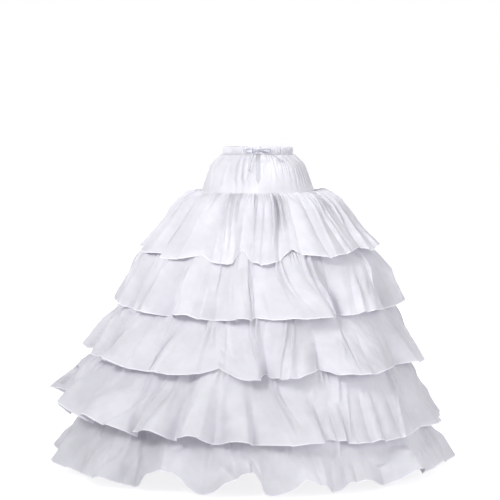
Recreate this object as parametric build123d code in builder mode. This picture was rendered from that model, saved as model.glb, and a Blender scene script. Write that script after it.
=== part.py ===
"""Ruffled hoop petticoat: drawstring waist, gathered yoke and five tiers of fluted ruffles over a hooped
foundation skirt. Millimetres and degrees; +Z is up, the front is -Y, and Z = 0 is the top of the waistband."""

import os
from math import atan2, cos, degrees, dist, hypot, radians, sin

from build123d import *

# Waist
waist_radius = 104.0
band_height = 26.0
band_gap = 17.0
cord_size = 2.6

# Cloth and seams
cloth = 1.2
seat = 0.3

# Yoke and foundation skirt
puff_radius = 146.0
puff_depth = 48.0
puff_gather = 6.0
hip_radius = 184.0
hip_depth = 146.0
hoop_line_radius = 304.0
hoop_line_depth = 300.0
hem_radius = 570.0
hem_depth = 948.0
gather_count = 12
gather_size = 3.6
gather_shares = (0.0, 0.2, 0.5, 0.8)
gather_rises = (0.0, 0.7, 1.0, 0.7)

# Front opening
slit_width = 14.0
slit_depth = 92.0
facing_angle = 22.0

# Hoops
hoop_shares = (0.046, 0.34, 0.648, 0.965)
hoop_width = 10.0
hoop_thick = 1.5
hoop_end_gap = 2.0
casing_width = 22.0
casing_opening = 64.0
joiner_wall = 0.6
joiner_length = 32.0
joiner_lip = 1.0

# Ruffles from the top: flares are degrees out from the wall below, for a valley and for a crest at the front,
# with those that the two sides and the left side add
seam_lap = 4.0
seam_shares = (0.028, 0.296, 0.568, 0.795)
overlap_lengths = (56.0, 53.0, 50.0, 86.0, 84.0)
shoulder_length = 62.0
shoulder_flares = (12.0, 24.0)
tuck_spare = 20.0
tuck_flares = (5.0, 11.0)
upper_side_flares = (15.0, 32.0, 34.0, 22.0, 3.0)
upper_left_flares = (0.0, 2.0, 10.0, 21.0, 9.0)
hem_flares = ((-5.0, -4.0), (2.0, 14.0), (3.0, 16.0), (4.0, 16.0), (-2.0, 13.0))
hem_side_flares = (9.0, -7.0, -4.0, 3.0, -6.0)
hem_left_flares = (-2.0, 0.0, 4.0, 11.0, 1.0)
valley_left_share = 0.5
lift_lengths = (70.0, 45.0, 60.0, 40.0, 70.0)
lift_powers = (1, 1, 1, 1, 3)

# Flutes: the valleys that show at the front, how much of the lift each takes and the crests between them take,
# and the flutes round the back
front_valleys = (
    (-82, -57, -31, -9, 19, 62, 86),
    (-84, -62, -41, -19, -2, 36, 72),
    (-80, -62, -41, -15, 3, 23, 64, 86),
    (-78, -60, -39, -25, -14, -2, 22, 66, 86),
    (-80, -62, -38, -16, 4, 22, 40, 60, 78),
)
lift_shares = (
    (0.3, 0.3, 0.5, 1.0, 0.9, 0.5, 0.3),
    (0.3, 0.4, 0.5, 0.4, 0.6, 0.8, 0.4),
    (0.4, 0.3, 0.4, 1.0, 0.8, 0.9, 0.5, 0.4),
    (0.3, 0.5, 0.4, 0.5, 0.4, 0.5, 0.8, 0.5, 0.4),
    (0.3, 0.3, 0.3, 0.25, 0.25, 0.35, 0.35, 0.55, 0.55),
)
crest_lift_shares = ((), (), (), (), (0.0, 0.1, 0.95, 1.0, 0.75, 0.6, 0.6, 0.6))
back_lift_share = 0.5
back_flutes = (5, 6, 6, 6, 7)
flute_shares = (0.0, 0.12, 0.25, 0.42, 0.58, 0.75, 0.88)
rise_shares = (0.0, 0.36, 0.82, 1.0, 1.0, 0.82, 0.36)

# Bow
knot_width = 11.0
knot_height = 12.0
knot_chamfer = 2.5
tail_knot = 6.0
loop_mouth = 4.0
loop_height = 22.0
loop_reach = 33.0
loop_bend = 8.0
loop_heading = 7.0
tail_bend = 24.0
right_tail = ((20.0, -2.0), (44.0, -13.0), (68.0, -31.0))
right_heading = -9.0
left_tail = ((14.0, -4.0), (43.0, -35.0), (55.0, -60.0))
left_heading = 248.0

full_turn = 360.0
half_turn = 180.0
front = -90.0
back = 90.0

band_thick = cloth + seat + cord_size + seat + cloth
band_radius = waist_radius + band_thick
cord_radius = waist_radius + cloth + seat + cord_size / 2
cord_level = -band_height / 2
yoke_top = -band_height - seat
yoke_top_radius = band_radius - seat
foundation_top = -hip_depth - seat
skirt_depth = hem_depth - hoop_line_depth
hip_lean = degrees(atan2(hoop_line_radius - hip_radius, hoop_line_depth - hip_depth))
skirt_lean = degrees(atan2(hem_radius - hoop_line_radius, skirt_depth))


def between(value, start, end, at_start, at_end):
    """The value's place on the straight line from (start, at_start) to (end, at_end)."""
    return at_start + (at_end - at_start) * (value - start) / (end - start)


def yoke_at(level):
    """Outer radius of the yoke's ridges at a level."""
    if level > -puff_depth:
        return between(level, yoke_top, -puff_depth, yoke_top_radius, puff_radius)
    return between(level, -puff_depth, -hip_depth, puff_radius, hip_radius)


def wall_at(level):
    """Outer radius of the foundation skirt below the hoop line."""
    return between(level, -hoop_line_depth, -hem_depth, hoop_line_radius, hem_radius)


def span(length, radius):
    """Angle that a length takes up on a circle."""
    return length / radius * half_turn / radians(half_turn)


def meridian(angle):
    """Upright plane through the axis, with its x pointing outward at an angle."""
    turn = radians(angle)
    return Plane(origin=(0, 0, 0), x_dir=(cos(turn), sin(turn), 0), z_dir=(sin(turn), -cos(turn), 0))


def band_on_wall(depth, width, inset, thick):
    """Corners of a strip that lies along the foundation's inner face at a depth."""
    top = -depth + width / 2
    bottom = -depth - width / 2
    return (
        (wall_at(top) - inset, top),
        (wall_at(bottom) - inset, bottom),
        (wall_at(bottom) - inset - thick, bottom),
        (wall_at(top) - inset - thick, top),
    )


def place(radius, angle):
    """Point on a level plane, with the angle counted from the front towards the right."""
    turn = radians(angle)
    return (radius * sin(turn), -radius * cos(turn))


def flute_stations(tier):
    """Angles, rises and hem lifts of one ruffle's flutes: rise 0 in a valley and 1 on a crest."""
    valleys = list(zip(front_valleys[tier], lift_shares[tier]))
    first, last = valleys[0][0], valleys[-1][0]
    step = (full_turn + first - last) / back_flutes[tier]
    valleys += [(last + step * (k + 1), back_lift_share) for k in range(back_flutes[tier] - 1)]
    valleys.append((full_turn + first, lift_shares[tier][0]))
    crest_lifts = crest_lift_shares[tier] + (0,) * (len(valleys) - 1 - len(crest_lift_shares[tier]))
    stations = []
    for (start, start_lift), (end, end_lift), crest in zip(valleys, valleys[1:], crest_lifts):
        for share, rise in zip(flute_shares, rise_shares):
            valley = between(share, 0, 1, start_lift, end_lift)
            lift_share = between(rise ** lift_powers[tier], 0, 1, valley, crest)
            stations.append((start + (end - start) * share, rise, lift_lengths[tier] * lift_share))
    return stations


def seam_radius(stations, wall):
    """Radius at which a many-sided seam line just clears a round wall."""
    widest = max(end[0] - start[0] for start, end in zip(stations, stations[1:]))
    return (wall + seat) / cos(radians(widest / 2)) + cloth


def flounce(rings):
    """Cloth through rings of (angle, radius, level) from the seam to the hem, in flat three-cornered panels."""
    outside = [[(*place(radius, angle), level) for angle, radius, level in ring] for ring in rings]
    inside = [[(*place(radius - cloth, angle), level) for angle, radius, level in ring] for ring in rings]
    round_trip = outside + inside[::-1] + outside[:1]
    panels = []
    for upper, lower in zip(round_trip, round_trip[1:]):
        for k in range(len(upper)):
            a, b, c, d = upper[k - 1], upper[k], lower[k], lower[k - 1]
            if dist(a, c) < dist(b, d):
                corners = ((a, c, b), (a, d, c))
            else:
                corners = ((a, d, b), (b, d, c))
            panels += [Face(Wire.make_polygon(corner)) for corner in corners]
    return Solid(Shell(panels))


def fallen(ring, stations, lengths, lean, flares, side_flare, left_flare):
    """The ring lower down the cloth: each place moves out and down by the wall's lean and its own flare."""
    lower = []
    for (angle, radius, level), (_, rise, _), length in zip(ring, stations, lengths):
        side = sin(radians(angle))
        valley = flares[0] - left_flare * valley_left_share * side
        crest = flares[1] - left_flare * side
        flare = radians(lean + side_flare * side * side + between(rise, 0, 1, valley, crest))
        lower.append((angle, radius + length * sin(flare), level - length * cos(flare)))
    return lower


def beside_knot(points, heading_angle):
    """Distance from the axis at which a cord's square end just clears the knot's side."""
    lean = abs(points[0][1]) / hypot(*points[0]) + abs(sin(radians(heading_angle)))
    return knot_width / 2 + seat + cord_size / 2 * lean


# Waistband: a folded casing, open at the front where the drawstring comes out
with BuildPart() as waistband:
    gap_angle = span(band_gap, band_radius)
    with BuildSketch(meridian(front + gap_angle / 2)):
        with Locations((waist_radius + band_thick / 2, cord_level)):
            Rectangle(band_thick, band_height)
            Rectangle(band_thick - 2 * cloth, band_height - 2 * cloth, mode=Mode.SUBTRACT)
    revolve(axis=Axis.Z, revolution_arc=full_turn - gap_angle)

# Drawstring inside the casing, ending at the two sides of the knot
with BuildPart() as drawstring:
    cord_gap = span(knot_width + 2 * seat, cord_radius)
    with BuildSketch(meridian(front + cord_gap / 2)):
        with Locations((cord_radius, cord_level)):
            Rectangle(cord_size, cord_size)
    revolve(axis=Axis.Z, revolution_arc=full_turn - cord_gap)

# Yoke: gathers that puff out under the waistband and die out towards the hips, with the slit cut from the top
with BuildPart() as yoke:
    yoke_rings = ([], [], [])
    for k in range(gather_count):
        for share, rise in zip(gather_shares, gather_rises):
            angle = (k + share) * full_turn / gather_count
            yoke_rings[0].append((angle, yoke_top_radius - gather_size * (1 - rise), yoke_top))
            yoke_rings[1].append((angle, puff_radius - puff_gather * (1 - rise), -puff_depth))
            yoke_rings[2].append((angle, hip_radius, -hip_depth))
    add(flounce(yoke_rings))
    with BuildSketch(Plane.XZ):
        with Locations((0, yoke_top - slit_depth / 2)):
            SlotOverall(slit_depth + slit_width, slit_width, rotation=back)
    extrude(amount=hip_radius, mode=Mode.SUBTRACT)

# Facing behind the slit
with BuildPart() as placket_facing:
    facing_top = yoke_top - seat
    facing_foot = -hip_depth + seam_lap
    top_inset = gather_size + cloth + seat
    puff_inset = puff_gather + cloth + seat
    widest = max(end - start for start, end in zip(gather_shares, gather_shares[1:])) * full_turn / gather_count
    foot_inset = cloth + seat + hip_radius * (1 - cos(radians(widest / 2)))
    with BuildSketch(meridian(front - facing_angle / 2)):
        with BuildLine():
            Polyline(
                (yoke_at(facing_top) - top_inset, facing_top),
                (puff_radius - puff_inset, -puff_depth),
                (yoke_at(facing_foot) - foot_inset, facing_foot),
                (yoke_at(facing_foot) - foot_inset - cloth, facing_foot),
                (puff_radius - puff_inset - cloth, -puff_depth),
                (yoke_at(facing_top) - top_inset - cloth, facing_top),
                close=True,
            )
        make_face()
    revolve(axis=Axis.Z, revolution_arc=facing_angle)

# Foundation skirt: a hip cone down to the hoop line and a long cone below it
with BuildPart() as foundation_skirt:
    with BuildSketch(Plane.XZ):
        with BuildLine():
            Polyline(
                (hip_radius, foundation_top),
                (hoop_line_radius, -hoop_line_depth),
                (hem_radius, -hem_depth),
                (hem_radius - cloth, -hem_depth),
                (hoop_line_radius - cloth, -hoop_line_depth),
                (hip_radius - cloth, foundation_top),
                close=True,
            )
        make_face()
    revolve(axis=Axis.Z)

# Hoops of flat steel, each with a joiner over its ends and a tape casing with an opening there
hoops = []
for number, share in enumerate(hoop_shares, start=1):
    depth = hoop_line_depth + skirt_depth * share
    hoop_inset = cloth + seat + joiner_wall + seat
    hoop_radius = wall_at(-depth) - hoop_inset
    end_angle = span(hoop_end_gap, hoop_radius)
    with BuildPart() as hoop:
        with BuildSketch(meridian(back + end_angle / 2)):
            with BuildLine():
                Polyline(*band_on_wall(depth, hoop_width, hoop_inset, hoop_thick), close=True)
            make_face()
        revolve(axis=Axis.Z, revolution_arc=full_turn - end_angle)
    hoop.part.label = f"hoop_{number}"

    joiner_angle = span(joiner_length, hoop_radius)
    bore = hoop_thick + 2 * seat
    sleeve_width = hoop_width + 2 * joiner_lip
    with BuildPart() as joiner:
        with BuildSketch(meridian(back - joiner_angle / 2)):
            with BuildLine():
                Polyline(
                    *band_on_wall(depth, sleeve_width, cloth + seat, bore + 2 * joiner_wall), close=True
                )
            make_face()
            with BuildLine():
                Polyline(
                    *band_on_wall(depth, hoop_width + 2 * seat, cloth + seat + joiner_wall, bore), close=True
                )
            make_face(mode=Mode.SUBTRACT)
        revolve(axis=Axis.Z, revolution_arc=joiner_angle)
    joiner.part.label = f"hoop_joiner_{number}"

    opening_angle = span(casing_opening, hoop_radius)
    casing_inset = hoop_inset + hoop_thick + seat
    with BuildPart() as casing:
        with BuildSketch(meridian(back + opening_angle / 2)):
            with BuildLine():
                Polyline(*band_on_wall(depth, casing_width, casing_inset, cloth), close=True)
            make_face()
        revolve(axis=Axis.Z, revolution_arc=full_turn - opening_angle)
    casing.part.label = f"hoop_casing_{number}"
    hoops += [hoop, joiner, casing]

# Ruffles: the first springs out over the hips, and the others start tucked under the hem above; from there
# they flare into flutes, and each ends an overlap past the seam, or the foundation's hem, below it
ruffles = []
seam_levels = [-hip_depth + seam_lap] + [-hoop_line_depth - skirt_depth * share for share in seam_shares]
for tier, (level, next_level) in enumerate(zip(seam_levels, seam_levels[1:] + [-hem_depth])):
    if tier == 0:
        wall, lean = yoke_at(level), hip_lean
        upper_length, upper_flares = shoulder_length, shoulder_flares
    else:
        wall, lean = wall_at(level), skirt_lean
        upper_length, upper_flares = overlap_lengths[tier - 1] + tuck_spare, tuck_flares
    hem_length = (level - next_level) / cos(radians(lean)) + overlap_lengths[tier] - upper_length
    stations = flute_stations(tier)
    seam = [(angle, seam_radius(stations, wall), level) for angle, _, _ in stations]
    upper_lengths = [upper_length for _ in stations]
    hem_lengths = [hem_length - lift for _, _, lift in stations]
    bend = fallen(
        seam, stations, upper_lengths, lean, upper_flares, upper_side_flares[tier], upper_left_flares[tier]
    )
    hem = fallen(
        bend, stations, hem_lengths, lean, hem_flares[tier], hem_side_flares[tier], hem_left_flares[tier]
    )
    with BuildPart() as ruffle:
        add(flounce([seam, bend, hem]))
    ruffle.part.label = f"ruffle_{tier + 1}"
    ruffles.append(ruffle)

# Bow: a knot in the band's gap, two loops beside it and two tails in front of them, knotted at their ends
loop_y = -(band_radius + seat + cord_size / 2)
tail_y = loop_y - cord_size - seat
knot_back = -(cord_radius - cord_size)
knot_front = tail_y - cord_size
with BuildPart() as bow_knot:
    with Locations((0, (knot_back + knot_front) / 2, cord_level)):
        Box(knot_width, knot_back - knot_front, knot_height)
    chamfer(bow_knot.edges(), knot_chamfer)
bow_knot.part.label = "bow_knot"

loops = []
loop_side = beside_knot(((loop_reach, (loop_height - loop_mouth) / 2),), loop_heading)
for side, name in ((1, "right"), (-1, "left")):
    turn = radians(loop_heading)
    loop_plane = Plane(
        origin=(side * loop_side, loop_y, cord_level),
        x_dir=(side * cos(turn), sin(turn), 0),
        z_dir=(side * sin(turn), -cos(turn), 0),
    )
    with BuildPart() as loop:
        with BuildLine(loop_plane) as route:
            FilletPolyline(
                (0, loop_mouth / 2),
                (loop_reach, loop_height / 2),
                (loop_reach, -loop_height / 2),
                (0, -loop_mouth / 2),
                radius=loop_bend,
            )
        with BuildSketch(route.line ^ 0):
            Rectangle(cord_size, cord_size)
        sweep()
    loop.part.label = f"bow_loop_{name}"
    loops.append(loop)

tails = []
for side, heading_angle, points, name in (
    (1, right_heading, right_tail, "right"),
    (-1, left_heading, left_tail, "left"),
):
    turn = radians(heading_angle)
    tail_plane = Plane(
        origin=(side * beside_knot(points, heading_angle), tail_y, cord_level),
        x_dir=(cos(turn), sin(turn), 0),
        z_dir=(sin(turn), -cos(turn), 0),
    )
    with BuildPart() as tail:
        with BuildLine(tail_plane) as route:
            FilletPolyline((0, 0), *points, radius=tail_bend)
        with BuildSketch(route.line ^ 0):
            Rectangle(cord_size, cord_size)
        sweep()
        with Locations(route.line ^ 1):
            Box(tail_knot, tail_knot, tail_knot)
    tail.part.label = f"bow_tail_{name}"
    tails.append(tail)

waistband.part.label = "waistband"
drawstring.part.label = "drawstring"
yoke.part.label = "yoke"
placket_facing.part.label = "placket_facing"
foundation_skirt.part.label = "foundation_skirt"
parts = [waistband, drawstring, yoke, placket_facing, foundation_skirt, bow_knot]

os.makedirs("parts", exist_ok=True)
for piece in parts + hoops + ruffles + loops + tails:
    export_step(piece.part, f"parts/{piece.part.label}.step")
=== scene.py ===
"""Looks of the ruffled hoop petticoat: fluted ruffles, gathered yoke and waistband, and a tied drawstring."""

import math

import bpy
import numpy as np
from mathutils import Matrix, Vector


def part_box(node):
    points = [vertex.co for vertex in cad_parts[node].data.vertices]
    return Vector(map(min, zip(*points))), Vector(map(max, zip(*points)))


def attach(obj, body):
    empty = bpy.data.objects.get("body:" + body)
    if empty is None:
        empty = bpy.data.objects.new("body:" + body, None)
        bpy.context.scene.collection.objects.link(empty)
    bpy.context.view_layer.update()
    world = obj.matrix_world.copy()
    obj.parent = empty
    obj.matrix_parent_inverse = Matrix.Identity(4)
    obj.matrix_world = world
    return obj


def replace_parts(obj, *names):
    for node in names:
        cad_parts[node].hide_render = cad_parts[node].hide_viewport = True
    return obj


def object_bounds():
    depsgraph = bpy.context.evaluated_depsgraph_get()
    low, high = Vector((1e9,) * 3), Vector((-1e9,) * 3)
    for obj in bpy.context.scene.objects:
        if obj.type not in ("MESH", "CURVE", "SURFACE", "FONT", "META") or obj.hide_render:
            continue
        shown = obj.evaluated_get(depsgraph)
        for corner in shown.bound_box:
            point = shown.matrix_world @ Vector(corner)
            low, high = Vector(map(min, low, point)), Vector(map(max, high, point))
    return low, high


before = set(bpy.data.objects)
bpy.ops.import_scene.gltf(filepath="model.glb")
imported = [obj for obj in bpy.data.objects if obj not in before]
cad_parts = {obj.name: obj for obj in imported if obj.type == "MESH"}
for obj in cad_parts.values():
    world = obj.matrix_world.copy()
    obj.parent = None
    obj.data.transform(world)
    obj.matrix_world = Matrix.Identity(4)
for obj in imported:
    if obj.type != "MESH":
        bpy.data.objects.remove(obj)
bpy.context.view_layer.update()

# Sizes in metres and angles in degrees, as the CAD part has them
CLOTH = 0.0012
SEAT = 0.0003
WAIST_RADIUS = 0.104
BAND_HEIGHT = 0.026
BAND_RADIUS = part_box("waistband")[1][0]
BAND_GAP = 0.017
CORD_SIZE = 0.0026
PUFF_RADIUS = 0.146
PUFF_DEPTH = 0.048
HIP_RADIUS = 0.184
HIP_DEPTH = 0.146
HOOP_LINE_RADIUS = 0.304
HOOP_LINE_DEPTH = 0.300
HEM_RADIUS = 0.570
HEM_DEPTH = 0.948
SLIT_WIDTH = 0.014
SLIT_DEPTH = 0.092
FACING_ANGLE = 22.0
FACING_DEPTHS = (0.0266, 0.048, 0.142)
FACING_RADII = (0.1047, 0.1385, 0.1804)

# Ruffles from the top: flares are degrees out from the wall below, for a valley and for a crest at the front,
# with those that the two sides and the left side add
SEAM_LAP = 0.004
SEAM_SHARES = (0.028, 0.296, 0.568, 0.795)
OVERLAPS = (0.056, 0.053, 0.050, 0.086, 0.084)
SHOULDER_LENGTH = 0.062
SHOULDER_FLARES = (12.0, 24.0)
TUCK_SPARE = 0.020
TUCK_FLARES = (5.0, 11.0)
UPPER_SIDE_FLARES = (15.0, 32.0, 34.0, 22.0, 3.0)
UPPER_LEFT_FLARES = (0.0, 2.0, 10.0, 21.0, 9.0)
HEM_FLARES = ((-5.0, -4.0), (2.0, 14.0), (3.0, 16.0), (4.0, 16.0), (-2.0, 13.0))
HEM_SIDE_FLARES = (9.0, -7.0, -4.0, 3.0, -6.0)
HEM_LEFT_FLARES = (-2.0, 0.0, 4.0, 11.0, 1.0)
VALLEY_LEFT_SHARE = 0.5

# Where each ruffle's valleys hang at the front, and how far they and the crests lift the hem
FRONT_VALLEYS = (
    (-82, -57, -31, -9, 19, 62, 86),
    (-84, -62, -41, -19, -2, 36, 72),
    (-80, -62, -41, -15, 3, 23, 64, 86),
    (-78, -60, -39, -25, -14, -2, 22, 66, 86),
    (-80, -62, -38, -16, 4, 22, 40, 60, 78),
)
LIFTS = (0.070, 0.045, 0.060, 0.040, 0.070)
LIFT_POWERS = (1, 1, 1, 1, 3)
LIFT_SHARES = (
    (0.3, 0.3, 0.5, 1.0, 0.9, 0.5, 0.3),
    (0.3, 0.4, 0.5, 0.4, 0.6, 0.8, 0.4),
    (0.4, 0.3, 0.4, 1.0, 0.8, 0.9, 0.5, 0.4),
    (0.3, 0.5, 0.4, 0.5, 0.4, 0.5, 0.8, 0.5, 0.4),
    (0.3, 0.3, 0.3, 0.25, 0.25, 0.35, 0.35, 0.55, 0.55),
)
CREST_LIFT_SHARES = ((), (), (), (), (0.0, 0.1, 0.95, 1.0, 0.75, 0.6, 0.6, 0.6))
BACK_LIFT_SHARE = 0.5
BACK_FLUTES = (5, 6, 6, 6, 7)
FLUTE_SHARES = (0.0, 0.12, 0.25, 0.42, 0.58, 0.75, 0.88)
RISE_SHARES = (0.0, 0.36, 0.82, 1.0, 1.0, 0.82, 0.36)

# Bow: routes from the knot as (sideways, up), and the headings that turn them round the waist
KNOT_SIZE = (0.011, 0.012)
KNOT_SIDE = 0.0062
TAIL_KNOT = 0.006
LOOP_ROUTE = ((0.0, 0.002), (0.033, 0.011), (0.033, -0.011), (0.0, -0.002))
LOOP_HEADING = 7.0
RIGHT_TAIL = ((0.0, 0.0), (0.020, -0.002), (0.044, -0.013), (0.068, -0.031))
RIGHT_HEADING = -9.0
LEFT_TAIL = ((0.0, 0.0), (0.014, -0.004), (0.043, -0.035), (0.055, -0.060))
LEFT_HEADING = 248.0

SKIRT_DEPTH = HEM_DEPTH - HOOP_LINE_DEPTH
HIP_LEAN = math.degrees(math.atan2(HOOP_LINE_RADIUS - HIP_RADIUS, HOOP_LINE_DEPTH - HIP_DEPTH))
SKIRT_LEAN = math.degrees(math.atan2(HEM_RADIUS - HOOP_LINE_RADIUS, SKIRT_DEPTH))
SEAM_LEVELS = [-HIP_DEPTH + SEAM_LAP] + [-HOOP_LINE_DEPTH - SKIRT_DEPTH * share for share in SEAM_SHARES]

# Finer looks of the ruffles: mesh rows and columns, degrees added to the flares, and rises in metres
COLUMNS = 1300
ROWS = 54
ROUND_STEPS = 720
LAYER_GAP = 0.003
HEM_RELEASE = 0.8
WALL_RELEASE = 0.5
BEND_REACH = 0.035
UPPER_EXTRAS = ((0.0, -5.0), (-2.5, 3.0), (-2.5, 3.0), (-2.5, 3.0), (-1.0, 2.0))
HEM_EXTRAS = ((0.0, 1.0), (-2.0, 2.0), (-2.0, 2.0), (-2.0, 2.0), (0.0, 5.0))
LEFT_EXTRAS = (0.0, 0.0, 0.0, 3.0, 6.0)
HEM_SPARES = (0.0, 0.0, 0.0, 0.0, 0.007)
HEM_WANDER = 1.2
CUT_WANDER = 0.002
LEAN_WIDTHS = (26, 26, 26, 26, 8)
LEAN_SHARES = (0.08, 0.36)
PLACE_SLACK = 0.035
RISE_SLACKS = (-0.12, 0.02)
RISE_BLUR = 1.6
LEAN_BLUR = 9.0
GATHER_RISE = 0.0022
PLEATS = 44
PLEAT_RISE = 0.019
STEEP_WIDTHS = (0.25, 0.6)
EASY_WIDTHS = (1.2, 3.2)
PLEAT_SLANT = 3.0
FOLDS = 36
FOLD_RISES = (0.011, 0.020, 0.022, 0.021, 0.034)
FOLD_SINK = 0.3
FOLD_SLANT = 5
FIRST_COVERED = 0.1
HEAD_PUFFS = (0.002, 0.006, 0.006, 0.006, 0.006)
CREASES = 12
CREASE_RISES = (0.0020, 0.0030, 0.0030, 0.0030, 0.0075)
CREASE_LENGTHS = ((0.05, 0.14), (0.05, 0.14), (0.05, 0.14), (0.05, 0.14), (0.09, 0.24))
CREASE_BEND = 1.6
MEAN_CREST = 0.64
HEM_CURL = 0.0018

# Finer looks of the waistband, yoke and foundation
BAND_COLUMNS = 800
BAND_ROWS = 32
BAND_PUCKER = 0.0013
BAND_SLACK = 0.0008
BAND_SAG = 0.0012
YOKE_COLUMNS = 1000
YOKE_ROWS = 40
YOKE_BLUR = 0.016
YOKE_INSET = 0.0016
YOKE_GATHER = 0.0013
YOKE_FOLD = 0.0075
YOKE_SPARE = 0.003
SLIT_END = 0.8
FOUNDATION_COLUMNS = 480
FOUNDATION_SLACK = 0.0004

# Materials: the turned hem, thread pitch and crease depth in metres
HEM_TURN = 0.0035
# How much lighter the turned hem is drawn: partly its denser double cloth, partly a painted highlight along
# the rolled edge
HEM_LIGHTER = 1.14
THREAD_PITCH = 0.0009
THREAD_SHARE = 0.01
CREASE_DEPTH = 0.006
WAVE_TURN = math.pi / 10

rng = np.random.default_rng(11)


def wall_radius(level):
    """Outer radius of the foundation skirt at a level."""
    depths = (HIP_DEPTH, HOOP_LINE_DEPTH, HEM_DEPTH)
    return np.interp(-level, depths, (HIP_RADIUS, HOOP_LINE_RADIUS, HEM_RADIUS))


def yoke_radius(level):
    """Outer radius of the yoke's ridges at a level: out to the puff under the band and on to the hips."""
    depths = (BAND_HEIGHT, PUFF_DEPTH, HIP_DEPTH)
    radii = (BAND_RADIUS - SEAT, PUFF_RADIUS, HIP_RADIUS)
    shifts = np.linspace(-YOKE_BLUR, YOKE_BLUR, 9)
    return float(np.mean([np.interp(-level + shift, depths, radii) for shift in shifts]))


def ease(value, start, end):
    """Smooth step from 0 at start to 1 at end."""
    share = np.clip((value - start) / (end - start), 0, 1)
    return share * share * (3 - 2 * share)


def ripple(angle, low, high, count=9):
    """Irregular wave round the axis, about -1 to 1, made of whole turns between two counts."""
    total = np.zeros_like(angle)
    for turns in rng.integers(low, high + 1, count):
        total = total + np.cos(angle * turns + rng.uniform(0, 2 * math.pi))
    return total / math.sqrt(count)


def smooth_round(values, width):
    """Values round the axis, blurred by a bell curve of that many columns."""
    reach = int(3 * width) + 1
    steps = np.arange(-reach, reach + 1)
    bell = np.exp(-0.5 * (steps / width) ** 2)
    padded = np.concatenate([values[-reach:], values, values[:reach]])
    return np.convolve(padded, bell / bell.sum(), mode="valid")


def around(radii, turns, levels):
    """Points round the axis, at turns from the front in radians."""
    heights = np.broadcast_to(levels, turns.shape)
    return np.stack([radii * np.sin(turns), -radii * np.cos(turns), heights], axis=1)


def grid_piece(name, points, closed):
    """Cloth through a grid of points, rows by columns, with lengths along the cloth as its UV in metres."""
    rows, columns = points.shape[:2]
    mesh = bpy.data.meshes.new(name)
    wrap = columns if closed else columns - 1
    first = np.arange(wrap)
    after = (first + 1) % columns
    faces = []
    for row in range(rows - 1):
        upper, lower = row * columns, (row + 1) * columns
        faces.append(np.stack([lower + first, lower + after, upper + after, upper + first], axis=1))
    faces = np.concatenate(faces)
    mesh.from_pydata(points.reshape(-1, 3), [], faces.tolist())
    mesh.polygons.foreach_set("use_smooth", [True] * len(mesh.polygons))

    across = np.linalg.norm(np.diff(points, axis=1, append=points[:, :1]), axis=2).mean(axis=0)
    along = np.concatenate([[0], np.cumsum(across)])
    down = np.concatenate([[0], np.cumsum(np.linalg.norm(np.diff(points, axis=0), axis=2).mean(axis=1))])
    corner_u = np.stack([first, first + 1, first + 1, first], axis=1)
    uv = np.zeros((len(faces), 4, 2))
    for row in range(rows - 1):
        block = slice(row * wrap, (row + 1) * wrap)
        uv[block, :, 0] = along[corner_u]
        uv[block, :2, 1] = down[-1] - down[row + 1]
        uv[block, 2:, 1] = down[-1] - down[row]
    layer = mesh.uv_layers.new(name="cloth")
    layer.data.foreach_set("uv", uv.ravel())
    mesh.update()
    piece = bpy.data.objects.new(name, mesh)
    bpy.context.scene.collection.objects.link(piece)
    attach(piece, "root")
    return piece, float(along[wrap]), float(down[-1])


def declare_sheet(piece, node, material):
    """Cloth piece that stands for a CAD node, with its finish."""
    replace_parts(piece, node)
    piece.data.materials.append(material)


def flutes(tier):
    """Columns of one ruffle: angle from the front, rise from valley to crest, sideways lean and hem lift."""
    valleys = list(FRONT_VALLEYS[tier])
    step = (360 + valleys[0] - valleys[-1]) / BACK_FLUTES[tier]
    valleys += [valleys[-1] + step * (k + 1) for k in range(BACK_FLUTES[tier])]
    lifts = list(LIFT_SHARES[tier]) + [BACK_LIFT_SHARE] * (BACK_FLUTES[tier] - 1) + [LIFT_SHARES[tier][0]]
    crests = list(CREST_LIFT_SHARES[tier]) + [0] * (len(valleys) - 1 - len(CREST_LIFT_SHARES[tier]))
    places, heights, leans, crest_lifts = [], [], [], []
    for start, end, crest in zip(valleys, valleys[1:], crests):
        width = end - start
        lean = rng.choice([-1, 1]) * rng.uniform(*LEAN_SHARES) * min(width, LEAN_WIDTHS[tier])
        for share, rise in zip(FLUTE_SHARES, RISE_SHARES):
            loose = 1 if share else 0
            places.append(start + width * (share + loose * rng.uniform(-PLACE_SLACK, PLACE_SLACK)))
            heights.append(np.clip(rise + loose * rng.uniform(*RISE_SLACKS), 0, 1))
            leans.append(lean)
            crest_lifts.append(crest)
    angles = valleys[0] + np.arange(COLUMNS) * 360 / COLUMNS
    turned = np.array(places + [valleys[-1]])
    rises = smooth_round(np.interp(angles, turned, heights + heights[:1]), RISE_BLUR)
    leans = smooth_round(np.interp(angles, turned, leans + leans[:1]), LEAN_BLUR)
    crest_lifts = np.interp(angles, turned, crest_lifts + crest_lifts[:1])
    arch = rises ** LIFT_POWERS[tier]
    lifts = LIFTS[tier] * (np.interp(angles, valleys, lifts) * (1 - arch) + crest_lifts * arch)
    return angles, rises, leans, lifts


def knife_pleats(angles):
    """Pleats of one ruffle: start, slant, steep and easy side, height and end of each."""
    pleats = []
    for _ in range(PLEATS):
        widths = (rng.uniform(*STEEP_WIDTHS), rng.uniform(*EASY_WIDTHS))
        steep, easy = widths if rng.uniform() < 0.5 else widths[::-1]
        start = rng.uniform(angles[0], angles[-1])
        slant = rng.uniform(-PLEAT_SLANT, PLEAT_SLANT)
        rise = PLEAT_RISE * rng.uniform(0.3, 1.0)
        pleats.append((start, slant, steep, easy, rise, rng.uniform(0.6, 1.5)))
    return pleats


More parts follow.
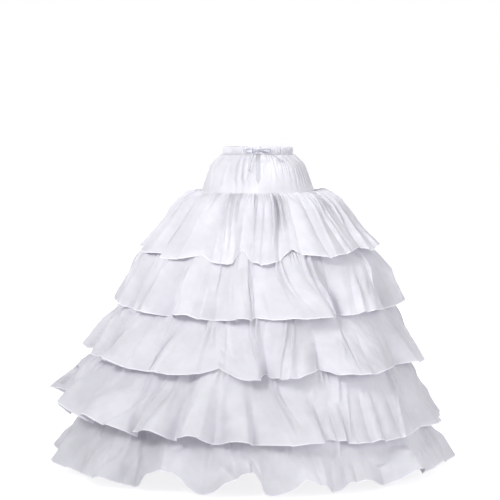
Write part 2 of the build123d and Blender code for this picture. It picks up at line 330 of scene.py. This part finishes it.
def pleat_height(angles, share, pleats):
    """How far the pleats stand out of the cloth at a share of its length."""
    height = np.zeros_like(angles)
    for start, slant, steep, easy, rise, end in pleats:
        off = (angles - start - slant * share + 180) % 360 - 180
        spread = 0.6 + 0.8 * share
        shape = np.clip(1 - np.maximum(off / easy, -off / steep) / spread, 0, 1)
        fade = ease(share, 0.0, 0.12) * (1 - 0.5 * ease(share, 0.3, 0.8)) * (1 - ease(share, end - 0.4, end))
        height = np.maximum(height, rise * shape * fade)
    return height


def narrow_folds(covered):
    """Round folds narrower than the flutes: bounds round the axis, heights, and shares where they start."""
    widths = rng.uniform(0.4, 1.6, FOLDS)
    bounds = np.concatenate([[0], np.cumsum(widths)]) * 360 / widths.sum()
    return bounds, rng.uniform(0.0, 1.0, FOLDS), covered + rng.uniform(-0.1, 0.2, FOLDS)


def fold_height(places, share, folds):
    """How far the narrow folds stand out, 0 to 1, with sharp valleys between them."""
    bounds, heights, starts = folds
    which = np.searchsorted(bounds, places % 360, side="right") - 1
    across = (places % 360 - bounds[which]) / (bounds[which + 1] - bounds[which])
    return heights[which] * np.sin(math.pi * across) ** 0.8 * ease(share, starts[which], starts[which] + 0.3)


def crease_waves(mean_radius, lengths):
    """Creases of crumpled cloth: waves in all directions, each with whole turns round the axis."""
    waves = []
    for _ in range(CREASES):
        length = rng.uniform(*lengths)
        heading = rng.uniform(0, math.pi)
        turns = round(2 * math.pi * mean_radius / length * math.cos(heading))
        waves.append((turns, 2 * math.pi * math.sin(heading) / length, rng.uniform(0, 6.28), length))
    return waves


def crease_height(turns, down, bends, waves):
    """Height of the creases, with sharp folds where each wave passes through zero."""
    total = 0
    for count, rate, phase, length in waves:
        total = total + length * (np.abs(np.sin(turns * count + rate * down + phase + bends)) - MEAN_CREST)
    return total / sum(wave[3] for wave in waves) * 3


def cloth_relief(tier, angles, rises, length, mean_radius):
    """Height function of one ruffle's gathers, pleats, folds and creases, by the share of its length."""
    turns = np.radians(angles)
    gathers = ripple(turns, 70, 190, 14) * (0.6 + 0.4 * ripple(turns, 3, 14))
    pleats = knife_pleats(angles)
    folds = narrow_folds(OVERLAPS[tier - 1] / length if tier else FIRST_COVERED)
    slants = FOLD_SLANT * ripple(turns, 2, 7)
    waves = crease_waves(mean_radius, CREASE_LENGTHS[tier])
    bends = CREASE_BEND * ripple(turns, 4, 16)
    calm = np.clip(0.6 + 0.5 * ripple(turns, 5, 19), 0.15, 1.2)
    curl = ripple(turns, 24, 60)

    def relief(share):
        gathered = ease(share, 0.0, 0.02) * (1 - ease(share, 0.04, 0.26))
        puffed = (0.3 + 0.7 * rises) * ease(share, 0.0, 0.1) * (1 - ease(share, 0.12, 0.45))
        folded = fold_height(angles + slants * share, share, folds) - FOLD_SINK * ease(share, 0.1, 0.5)
        creased = calm * crease_height(turns, share * length, bends, waves) * ease(share, 0.03, 0.25)
        proud = GATHER_RISE * gathers * gathered
        proud = proud + pleat_height(angles, share, pleats)
        proud = proud + FOLD_RISES[tier] * folded
        proud = proud + HEAD_PUFFS[tier] * puffed
        proud = proud + CREASE_RISES[tier] * creased
        return proud + HEM_CURL * curl * ease(share, 0.9, 1.0)

    return relief


def layer_above(points):
    """Radius and level of a ruffle's rows at even steps round the axis."""
    steps = np.radians(np.arange(ROUND_STEPS) * 360 / ROUND_STEPS)
    turns = np.arctan2(points[:, :, 0], -points[:, :, 1])
    radii = np.hypot(points[:, :, 0], points[:, :, 1])
    rows = range(len(points))
    even_radii = [np.interp(steps, turns[row], radii[row], period=2 * math.pi) for row in rows]
    even_levels = [np.interp(steps, turns[row], points[row, :, 2], period=2 * math.pi) for row in rows]
    return np.array(even_radii), np.array(even_levels)


def under_layer(out, turn, level, above):
    """Radii held under the ruffle above, and let out again below its hem."""
    radii, levels = above
    column = np.rint(turn % (2 * math.pi) / (2 * math.pi) * ROUND_STEPS).astype(int) % ROUND_STEPS
    inside = np.array([np.interp(-z, -levels[:, k], radii[:, k]) for z, k in zip(level, column)])
    below_hem = np.maximum(levels[-1, column] - level, 0)
    return np.minimum(out, inside - LAYER_GAP + HEM_RELEASE * below_hem)


def flare_round(turns, rises, lean, flares, side_flare, left_flare):
    """Flare of each column in degrees out from straight down."""
    side = np.sin(turns)
    valley = flares[0] - left_flare * VALLEY_LEFT_SHARE * side
    crest = flares[1] - left_flare * side
    return lean + side_flare * side * side + valley + (crest - valley) * rises


def ruffle(tier, above):
    """One gathered tier: fine gathers and pleats at its seam run into flutes, under the tier above."""
    level = SEAM_LEVELS[tier]
    end_level = SEAM_LEVELS[tier + 1] if tier < len(SEAM_LEVELS) - 1 else -HEM_DEPTH
    if tier == 0:
        seam, lean = yoke_radius(level), HIP_LEAN
        upper_length, upper_flares = SHOULDER_LENGTH, SHOULDER_FLARES
    else:
        seam, lean = wall_radius(level), SKIRT_LEAN
        upper_length, upper_flares = OVERLAPS[tier - 1] + TUCK_SPARE, TUCK_FLARES
    length = (level - end_level) / math.cos(math.radians(lean)) + OVERLAPS[tier]

    angles, rises, leans, lifts = flutes(tier)
    turns = np.radians(angles)
    upper_flares = np.add(upper_flares, UPPER_EXTRAS[tier])
    hem_flares = np.add(HEM_FLARES[tier], HEM_EXTRAS[tier])
    upper_left = UPPER_LEFT_FLARES[tier] + LEFT_EXTRAS[tier]
    upper_flare = flare_round(turns, rises, lean, upper_flares, UPPER_SIDE_FLARES[tier], upper_left)
    hem_flare = flare_round(turns, rises, lean, hem_flares, HEM_SIDE_FLARES[tier], HEM_LEFT_FLARES[tier])
    hem_flare = hem_flare + HEM_WANDER * rises * ripple(turns, 2, 9)
    cut = length - lifts + CUT_WANDER * ripple(turns, 5, 15) + HEM_SPARES[tier]
    relief = cloth_relief(tier, angles, rises, length, seam + length / 2)

    shares = np.linspace(0, 1, ROWS)
    radius = np.full(COLUMNS, seam + SEAT + CLOTH)
    height = np.full(COLUMNS, level)
    points = np.zeros((ROWS, COLUMNS, 3))
    for row, share in enumerate(shares):
        bend = ease(share * length, upper_length - BEND_REACH, upper_length + BEND_REACH)
        flare = np.radians(upper_flare + (hem_flare - upper_flare) * bend)
        if row:
            step = (share - shares[row - 1]) * cut
            radius = radius + step * np.sin(flare)
            height = height - step * np.cos(flare)
        proud = relief(share)
        turn = turns + np.radians(leans * rises * ease(share, 0.12, 1.0))
        out = radius + proud * np.cos(flare)
        levels = height + proud * np.sin(flare)
        if above:
            out = under_layer(out, turn, levels, above)
        past_hem = np.maximum(-HEM_DEPTH - levels, 0)
        out = np.maximum(out, wall_radius(levels) + SEAT + CLOTH - WALL_RELEASE * past_hem)
        points[row] = around(out, turn, levels)

    name = f"ruffle_{tier + 1}"
    piece, _, depth = grid_piece(name + "_cloth", points, closed=True)
    declare_sheet(piece, name, cloth)
    return layer_above(points)


def waistband():
    """Folded casing, puckered on its drawstring, with the front gap left open."""
    gap = math.degrees(BAND_GAP / BAND_RADIUS)
    turns = np.radians(np.linspace(gap / 2, 360 - gap / 2, BAND_COLUMNS))
    pucker = ripple(turns, 60, 130, 12)
    loose = ripple(turns, 20, 44)
    # Section from the inner foot over the top to the outer foot: radius, level and how loose the cloth is
    section = [
        (WAIST_RADIUS + 0.0006, -BAND_HEIGHT, 0.1),
        (WAIST_RADIUS + 0.0004, -BAND_HEIGHT * 0.5, 0.1),
        (WAIST_RADIUS + 0.0006, -0.003, 0.2),
        (WAIST_RADIUS + 0.0016, -0.0012, 0.5),
        (BAND_RADIUS - 0.0026, -0.0010, 0.8),
        (BAND_RADIUS - 0.0008, -0.003, 1.0),
        (BAND_RADIUS, -BAND_HEIGHT * 0.35, 1.0),
        (BAND_RADIUS + 0.0004, -BAND_HEIGHT * 0.6, 1.0),
        (BAND_RADIUS - 0.0006, -BAND_HEIGHT * 0.86, 0.8),
        (BAND_RADIUS - 0.0030, -BAND_HEIGHT, 0.5),
    ]
    stations = np.linspace(0, 1, len(section))
    shares = np.linspace(0, 1, BAND_ROWS)
    radii, levels, loosen = (np.interp(shares, stations, column) for column in zip(*section))
    points = np.zeros((BAND_ROWS, BAND_COLUMNS, 3))
    for row in range(BAND_ROWS):
        out = radii[row] + loosen[row] * (BAND_PUCKER * pucker + BAND_SLACK * loose)
        points[row] = around(out, turns, levels[row] - BAND_SAG * loosen[row] * np.abs(loose))
    piece, width, depth = grid_piece("waistband_cloth", points, closed=False)
    declare_sheet(piece, "waistband", band_cloth)


def yoke():
    """Cloth from waistband to hips: gathered under the band, more on the left, and slit open in front."""
    angles = np.linspace(0, 360, YOKE_COLUMNS)
    turns = np.radians(angles)
    fine = ripple(turns, 60, 130, 12)
    folds = np.abs(ripple(turns, 14, 34)) - 0.8
    left = 0.35 + 0.65 * ease(-np.sin(turns), -0.2, 0.3)
    faced = np.cos(turns) > math.cos(math.radians(FACING_ANGLE / 2 + 2))
    top = -BAND_HEIGHT - SEAT
    points = np.zeros((YOKE_ROWS, YOKE_COLUMNS, 3))
    for row, share in enumerate(np.linspace(0, 1, YOKE_ROWS)):
        level = top + (-HIP_DEPTH - top) * share
        ridge = yoke_radius(level)
        out = ridge - YOKE_INSET
        out = out + YOKE_GATHER * fine * (1 - ease(share, 0.1, 0.6))
        out = out + YOKE_FOLD * folds * left * ease(share, 0.0, 0.12) * (1 - ease(share, 0.6, 1.1))
        out = np.minimum(out, ridge + YOKE_SPARE)
        over_facing = np.interp(-level, FACING_DEPTHS, FACING_RADII) + CLOTH
        out = np.where(faced, np.maximum(out, over_facing), out)
        open_share = 1 - ease(-level - BAND_HEIGHT, SLIT_DEPTH * SLIT_END, SLIT_DEPTH)
        half = SLIT_WIDTH / 2 / ridge * open_share
        turn = half + (2 * math.pi - 2 * half) * angles / 360
        points[row] = around(out, turn, level)
    piece, width, depth = grid_piece("yoke_cloth", points, closed=False)
    declare_sheet(piece, "yoke", cloth)


def foundation():
    """Plain skirt under the ruffles, drawn taut between its hoops."""
    turns = np.radians(np.arange(FOUNDATION_COLUMNS) * 360 / FOUNDATION_COLUMNS)
    slack = ripple(turns, 20, 48)
    hip_levels = np.linspace(-HIP_DEPTH - SEAT, -HOOP_LINE_DEPTH, 12, endpoint=False)
    levels = np.concatenate([hip_levels, np.linspace(-HOOP_LINE_DEPTH, -HEM_DEPTH, 30)])
    points = np.zeros((len(levels), FOUNDATION_COLUMNS, 3))
    for row, level in enumerate(levels):
        points[row] = around(wall_radius(level) - CLOTH / 2 + FOUNDATION_SLACK * slack, turns, level)
    piece, width, depth = grid_piece("foundation_cloth", points, closed=True)
    declare_sheet(piece, "foundation_skirt", lining)


def cord_piece(node, start, heading, steps, far_end):
    """One cord of the bow: its steps sideways along a heading and up, from where it leaves the knot."""
    turn = math.radians(heading)
    x, y, z = start
    route = [(x + out * math.cos(turn), y + out * math.sin(turn), z + up) for out, up in steps]
    curve = bpy.data.curves.new(node + "_cord", "CURVE")
    curve.dimensions = "3D"
    curve.bevel_depth = CORD_SIZE / 2
    curve.bevel_resolution = 4
    curve.resolution_u = 12
    curve.use_fill_caps = True
    line = curve.splines.new("NURBS")
    line.points.add(len(route) - 1)
    for point, place in zip(line.points, route):
        point.co = (*place, 1)
    line.order_u = 3
    line.use_endpoint_u = True
    piece = bpy.data.objects.new(node + "_cord", curve)
    bpy.context.scene.collection.objects.link(piece)
    piece.data.materials.append(cord_shaded_finish)
    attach(piece, "root")
    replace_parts(piece, node)
    [knob(node + "_knot", route[-1])] if far_end == "knot" else []


def knob(name, place, size=(TAIL_KNOT, TAIL_KNOT, TAIL_KNOT)):
    """Small tied lump of cord."""
    bpy.ops.mesh.primitive_uv_sphere_add(segments=28, ring_count=16, radius=0.5, location=place)
    piece = bpy.context.object
    piece.name = name
    for vertex in piece.data.vertices:
        groove = 1 + 0.1 * math.cos(18 * vertex.co.x + 14 * vertex.co.z)
        vertex.co = [c * s * groove for c, s in zip(vertex.co, size)]
    piece.data.polygons.foreach_set("use_smooth", [True] * len(piece.data.polygons))
    piece.data.materials.append(cord_shaded_finish)
    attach(piece, "root")
    return piece


def bow():
    """Knot in the band's gap, two loops beside it and two tails in front of them, knotted at their ends."""
    level = -BAND_HEIGHT / 2
    loop_y = -(BAND_RADIUS + SEAT + CORD_SIZE / 2)
    tail_y = loop_y - CORD_SIZE - SEAT
    knot_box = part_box("bow_knot")
    middle = [(low + high) / 2 for low, high in zip(*knot_box)]
    depth = knot_box[1][1] - knot_box[0][1]
    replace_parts(knob("bow_knot_tied", middle, (KNOT_SIZE[0], depth, KNOT_SIZE[1])), "bow_knot")
    cord_piece("bow_loop_right", (KNOT_SIDE, loop_y, level), LOOP_HEADING, LOOP_ROUTE, "object")
    cord_piece("bow_loop_left", (-KNOT_SIDE, loop_y, level), 180 - LOOP_HEADING, LOOP_ROUTE, "object")
    cord_piece("bow_tail_right", (KNOT_SIDE, tail_y, level), RIGHT_HEADING, RIGHT_TAIL, "knot")
    cord_piece("bow_tail_left", (-KNOT_SIDE, tail_y, level), LEFT_HEADING, LEFT_TAIL, "knot")


def put(links, socket, value):
    """Sets a socket to a value, or links it to another node's output."""
    if isinstance(value, bpy.types.NodeSocket):
        links.new(value, socket)
    else:
        socket.default_value = value


def shader_node(nodes, links, kind, **inputs):
    """Shader node with its inputs set from values or from other nodes' outputs."""
    node = nodes.new(kind)
    for name, value in inputs.items():
        put(links, node.inputs[name.replace("_", " ")], value)
    return node


def worked(nodes, links, operation, *values):
    """Output of a math node on values or on other nodes' outputs."""
    node = nodes.new("ShaderNodeMath")
    node.operation = operation
    for socket, value in zip(node.inputs, values):
        put(links, socket, value)
    return node.outputs[0]


def mixed(nodes, links, kind, factor, first, second):
    """Output of a mix node between two colours or two vectors."""
    node = nodes.new("ShaderNodeMix")
    node.data_type = kind
    put(links, node.inputs["Factor"], factor)
    put(links, node.inputs["A"], first)
    put(links, node.inputs["B"], second)
    return node.outputs["Result"]


def threads(nodes, links, place, direction, pitch):
    """Parallel threads, 0 to 1, that repeat at a pitch in metres."""
    scale = WAVE_TURN / pitch
    wave = shader_node(nodes, links, "ShaderNodeTexWave", Vector=place, Scale=scale, Distortion=0.4)
    wave.bands_direction = direction
    return wave.outputs["Fac"]


def cloth_material(name, colour, through, crease, sheen, mottle):
    """Woven cloth that lets some light through, mottled, with fine creases and a narrow turned hem that is
    denser and drawn lighter, partly for its double cloth and partly as a painted highlight along the rolled
    edge.
    """
    material = bpy.data.materials.new(name)
    material.use_nodes = True
    nodes, links = material.node_tree.nodes, material.node_tree.links
    nodes.clear()
    uv_map = nodes.new("ShaderNodeUVMap")
    uv_map.uv_map = "cloth"
    place = uv_map.outputs["UV"]
    parts = shader_node(nodes, links, "ShaderNodeSeparateXYZ", Vector=place)
    hem = worked(nodes, links, "LESS_THAN", parts.outputs["Y"], HEM_TURN)

    drift = shader_node(nodes, links, "ShaderNodeTexNoise", Vector=place, Scale=14.0, Detail=3.0)
    bent = mixed(nodes, links, "VECTOR", 0.06, place, drift.outputs["Color"])
    folds = shader_node(nodes, links, "ShaderNodeTexVoronoi", Vector=bent, Scale=20.0)
    soft = shader_node(nodes, links, "ShaderNodeTexNoise", Vector=bent, Scale=45.0, Detail=4.0)
    height = worked(nodes, links, "MULTIPLY_ADD", soft.outputs["Fac"], 0.35, folds.outputs["Distance"])
    for direction in ("X", "Y"):
        weave = threads(nodes, links, place, direction, THREAD_PITCH)
        height = worked(nodes, links, "MULTIPLY_ADD", weave, THREAD_SHARE, height)
    bump = shader_node(nodes, links, "ShaderNodeBump", Strength=crease, Distance=CREASE_DEPTH, Height=height)

    patches = shader_node(nodes, links, "ShaderNodeTexNoise", Vector=bent, Scale=8.0, Detail=3.0)
    shade = shader_node(
        nodes,
        links,
        "ShaderNodeMapRange",
        Value=patches.outputs["Fac"],
        From_Min=0.36,
        From_Max=0.64,
        To_Min=1 - mottle,
        To_Max=1.0,
    )
    body_tone = mixed(nodes, links, "RGBA", shade.outputs["Result"], (0, 0, 0, 1), (*colour, 1))
    # The hem's lighter tone is partly its double cloth and partly a painted highlight along the rolled edge
    hem_tone_with_highlight = (*[min(1, c * HEM_LIGHTER) for c in colour], 1)
    tone = mixed(nodes, links, "RGBA", hem, body_tone, hem_tone_with_highlight)
    face = shader_node(
        nodes,
        links,
        "ShaderNodeBsdfPrincipled",
        Base_Color=tone,
        Roughness=0.7,
        Specular_IOR_Level=0.3,
        Sheen_Weight=sheen,
        Sheen_Roughness=0.4,
        Normal=bump.outputs["Normal"],
    )
    glow = shader_node(nodes, links, "ShaderNodeBsdfTranslucent", Color=tone, Normal=bump.outputs["Normal"])
    body = nodes.new("ShaderNodeMixShader")
    put(links, body.inputs["Fac"], worked(nodes, links, "MULTIPLY_ADD", hem, -through / 4, through))
    put(links, body.inputs[1], face.outputs[0])
    put(links, body.inputs[2], glow.outputs[0])
    output = nodes.new("ShaderNodeOutputMaterial")
    put(links, output.inputs["Surface"], body.outputs[0])
    return material


def fine_material(name, colour, roughness, directions, pitch, depth, metallic=0.0):
    """Finish whose colour and bump follow crossing threads, or only a grain, of a pitch in metres."""
    material = bpy.data.materials.new(name)
    material.use_nodes = True
    nodes, links = material.node_tree.nodes, material.node_tree.links
    place = nodes.new("ShaderNodeTexCoord").outputs["Object"]
    grain = shader_node(nodes, links, "ShaderNodeTexNoise", Vector=place, Scale=1 / pitch, Detail=3.0)
    height = grain.outputs["Fac"]
    for direction in directions:
        weave = threads(nodes, links, place, direction, pitch)
        height = worked(nodes, links, "MULTIPLY_ADD", weave, 0.5, height)
    bump = shader_node(nodes, links, "ShaderNodeBump", Strength=0.5, Distance=depth, Height=height)
    face = nodes["Principled BSDF"]
    face.inputs["Roughness"].default_value = roughness
    face.inputs["Metallic"].default_value = metallic
    # The colour goes darker where the bump is low: painted shade in the grooves between threads, and with a
    # grain alone, tone that differs at random
    darker = (*[0.75 * c for c in colour], 1)
    put(links, face.inputs["Base Color"], mixed(nodes, links, "RGBA", height, darker, (*colour, 1)))
    put(links, face.inputs["Normal"], bump.outputs["Normal"])
    return material


cloth = cloth_material("white taffeta", (0.83, 0.825, 0.88), through=0.2, crease=0.36, sheen=0.2, mottle=0.13)
lining = cloth_material("white lining", (0.8, 0.8, 0.84), through=0.25, crease=0.15, sheen=0.1, mottle=0.03)
# The band's cloth is painted lighter than the ruffles' cloth, as painted light on the upright band that the
# lamps light too little
band_lit_tone = (0.86, 0.855, 0.905)
band_cloth = cloth_material("white cotton painted lighter", band_lit_tone, through=0.2, crease=0.3, sheen=0.2, mottle=0.05)
# The facing is drawn mid grey instead of white: painted shade for the slit that it shows through
facing = fine_material("facing cloth painted in shade", (0.58, 0.58, 0.63), 0.9, ("X", "Z"), 0.006, 0.0006)
tape = fine_material("woven tape", (0.85, 0.85, 0.87), 0.8, ("X", "Y", "Z"), 0.0016, 0.0003)
# The cord is drawn blue-grey instead of white: painted shade on the white cord
cord_shaded_finish = fine_material("braided cord painted in shade", (0.46, 0.46, 0.54), 0.85, ("DIAGONAL", "Z"), 0.0014, 0.0004)
steel = fine_material("coated steel", (0.86, 0.86, 0.87), 0.35, (), 0.004, 0.0001)
brass = fine_material("brass", (0.78, 0.63, 0.35), 0.35, (), 0.003, 0.0001, metallic=1.0)

above = None
for tier in range(len(SEAM_LEVELS)):
    above = ruffle(tier, above)
waistband()
yoke()
foundation()
bow()

FINISHES = {"placket_facing": facing, "drawstring": cord_shaded_finish}
for number in range(1, 5):
    FINISHES[f"hoop_{number}"] = steel
    FINISHES[f"hoop_joiner_{number}"] = brass
    FINISHES[f"hoop_casing_{number}"] = tape
for node, finish in FINISHES.items():
    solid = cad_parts[node]
    solid.data.materials.clear()
    solid.data.materials.append(finish)


def background_rays(nodes, links):
    """1 for the rays that show a background: to the camera, in metal and through glass."""
    rays = nodes.new("ShaderNodeLightPath").outputs
    shiny = worked(nodes, links, "MAXIMUM", rays["Is Glossy Ray"], rays["Is Transmission Ray"])
    return worked(nodes, links, "MAXIMUM", rays["Is Camera Ray"], shiny)


def area_light(name, place, target, size, power, spread=180):
    """Soft square light that points at a target."""
    data = bpy.data.lights.new(name, "AREA")
    data.size = size
    data.spread = math.radians(spread)
    data.energy = power
    light = bpy.data.objects.new(name, data)
    light.location = place
    light.rotation_mode = "QUATERNION"
    light.rotation_quaternion = (Vector(target) - Vector(place)).to_track_quat("-Z", "Y")
    bpy.context.scene.collection.objects.link(light)


# Floor: white to the eye, and a pale grey to the light that it sends back
FLOOR_GAP = 0.002
FLOOR_GLOW = 0.8
floor_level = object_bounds()[0][2] - FLOOR_GAP
bpy.ops.mesh.primitive_plane_add(size=60, location=(0, 0, floor_level))
floor = bpy.context.object
floor.name = "floor"
white = bpy.data.materials.new("white studio")
white.use_nodes = True
nodes, links = white.node_tree.nodes, white.node_tree.links
surface = nodes["Principled BSDF"]
surface.inputs["Base Color"].default_value = (0.4, 0.4, 0.42, 1)
surface.inputs["Roughness"].default_value = 0.9
surface.inputs["Emission Color"].default_value = (1, 1, 1, 1)
shown = worked(nodes, links, "MULTIPLY", background_rays(nodes, links), FLOOR_GLOW)
links.new(shown, surface.inputs["Emission Strength"])
floor.data.materials.append(white)

# Light: an even white room, brighter to the eye than the light that it gives, with lamps in front and behind
ROOM_LIGHT = 0.6
world = bpy.data.worlds.new("studio")
bpy.context.scene.world = world
world.use_nodes = True
nodes, links = world.node_tree.nodes, world.node_tree.links
nodes["Background"].inputs["Color"].default_value = (1, 1, 1, 1)
shown = worked(nodes, links, "MULTIPLY_ADD", background_rays(nodes, links), 1 - ROOM_LIGHT, ROOM_LIGHT)
links.new(shown, nodes["Background"].inputs["Strength"])
area_light("key", (-3.4, -3.6, 2.6), (0, 0, -0.3), 3.0, 52)
area_light("fill", (3.4, -3.4, 0.3), (0, 0, -0.6), 3.0, 84)
area_light("back", (0.0, 4.6, 1.2), (0, 0, -0.4), 4.0, 150)
area_light("upper", (-2.0, -3.0, 1.6), (-0.1, -0.2, -0.01), 1.2, 6.2, spread=42)

# Camera: one pixel of the image is PIXEL wide at the axis, and HORIZON is the row at the camera's own height
IMAGE_SIZE = 500
PIXEL = 0.0032
CAMERA_DISTANCE = 6.2
CAMERA_RISE = 0.1
AXIS_COLUMN = 258.0
HORIZON = 114.75
data = bpy.data.cameras.new("camera")
data.sensor_width = 36.0
data.lens = data.sensor_width * CAMERA_DISTANCE / (IMAGE_SIZE * PIXEL)
camera = bpy.data.objects.new("camera", data)
camera.location = ((IMAGE_SIZE / 2 - AXIS_COLUMN) * PIXEL, -CAMERA_DISTANCE, CAMERA_RISE)
tilt = math.atan((IMAGE_SIZE / 2 - HORIZON) * PIXEL / CAMERA_DISTANCE)
camera.rotation_euler = (math.radians(90) - tilt, 0, 0)
bpy.context.scene.collection.objects.link(camera)
bpy.context.scene.camera = camera
bpy.context.scene.view_settings.view_transform = "Standard"
